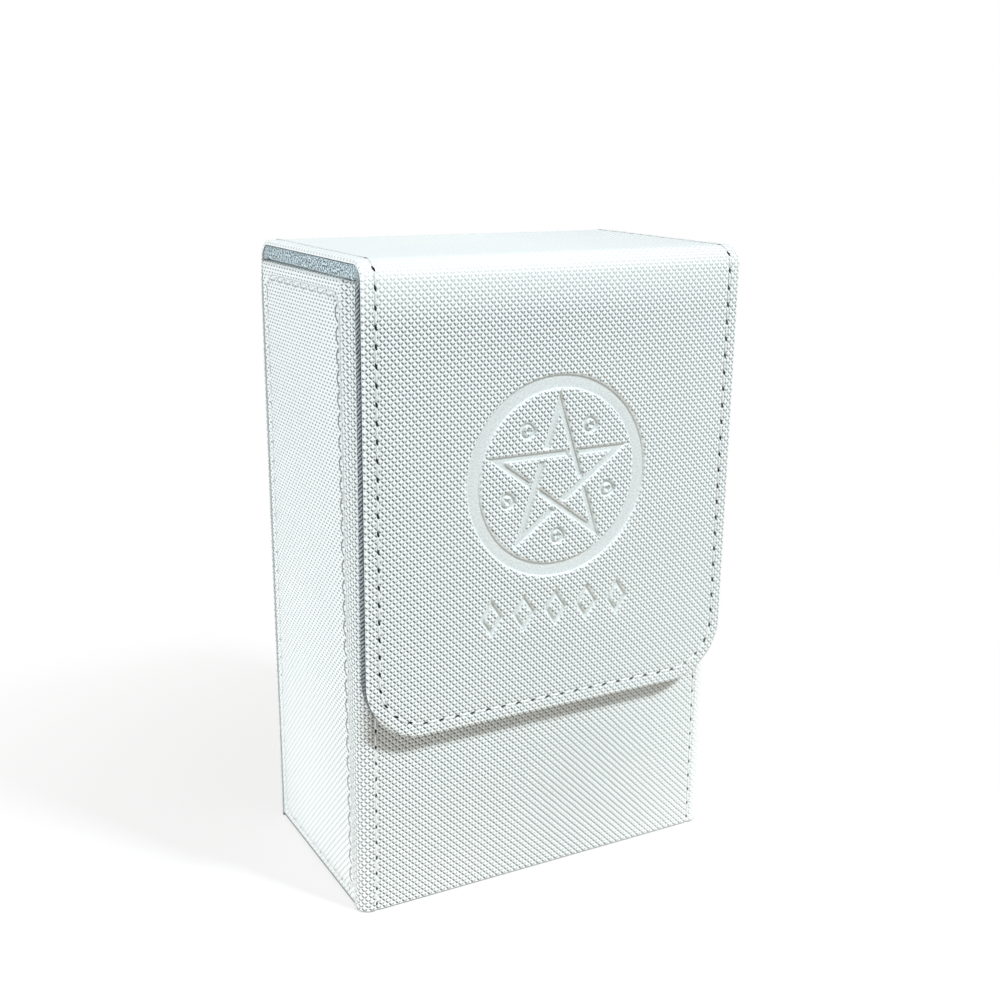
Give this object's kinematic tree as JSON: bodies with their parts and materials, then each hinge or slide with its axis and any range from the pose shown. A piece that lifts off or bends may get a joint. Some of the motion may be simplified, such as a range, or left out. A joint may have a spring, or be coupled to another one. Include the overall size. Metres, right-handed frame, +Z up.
{
  "type": "card storage box",
  "caption": "Upright leather-covered box for a deck of cards, with a lid that folds over from the back and a long rounded front flap held shut by hidden magnets.",
  "frame": {"origin": "middle of the box body's underside, on the surface that the box stands on", "axes": "+X along the front towards a viewer's right, +Y from the front wall to the back wall, +Z up"},
  "size_m": [0.0862, 0.0538, 0.135],
  "materials": {
    "white_leather": "matte",
    "grey_microfibre": "matte",
    "greyboard": "matte",
    "plated_magnet": "satin"
  },
  "bodies": {
    "box": {"base_board": "greyboard", "front_board": "greyboard", "back_board": "greyboard", "left_board": "greyboard", "right_board": "greyboard", "base_skin": "white_leather", "front_skin": "white_leather", "left_side_skin": "white_leather", "right_side_skin": "white_leather", "back_skin": "white_leather", "base_lining": "grey_microfibre", "front_lining": "grey_microfibre", "back_lining": "grey_microfibre", "left_lining": "grey_microfibre", "right_lining": "grey_microfibre", "front_magnets": "plated_magnet", "back_fold_skin": "white_leather", "back_fold_lining": "grey_microfibre"},
    "lid": {"lid_board": "greyboard", "lid_skin": "white_leather", "lid_lining": "grey_microfibre", "front_fold_skin": "white_leather", "front_fold_lining": "grey_microfibre"},
    "flap": {"flap_board": "greyboard", "flap_skin": "white_leather", "flap_lining": "grey_microfibre", "flap_magnets": "plated_magnet"}
  },
  "joints": [
    {"name": "lid_hinge", "type": "hinge", "parent": "box", "child": "lid", "pos_m": [0, 0.0234, 0.13375], "axis": [-1, 0, 0], "range_deg": [0, 200], "deforming": ["back_fold_skin", "back_fold_lining"]},
    {"name": "flap_fold", "type": "hinge", "parent": "lid", "child": "flap", "pos_m": [0, -0.0278, 0.13375], "axis": [-1, 0, 0], "range_deg": [0, 120], "deforming": ["front_fold_skin", "front_fold_lining"]}
  ]
}
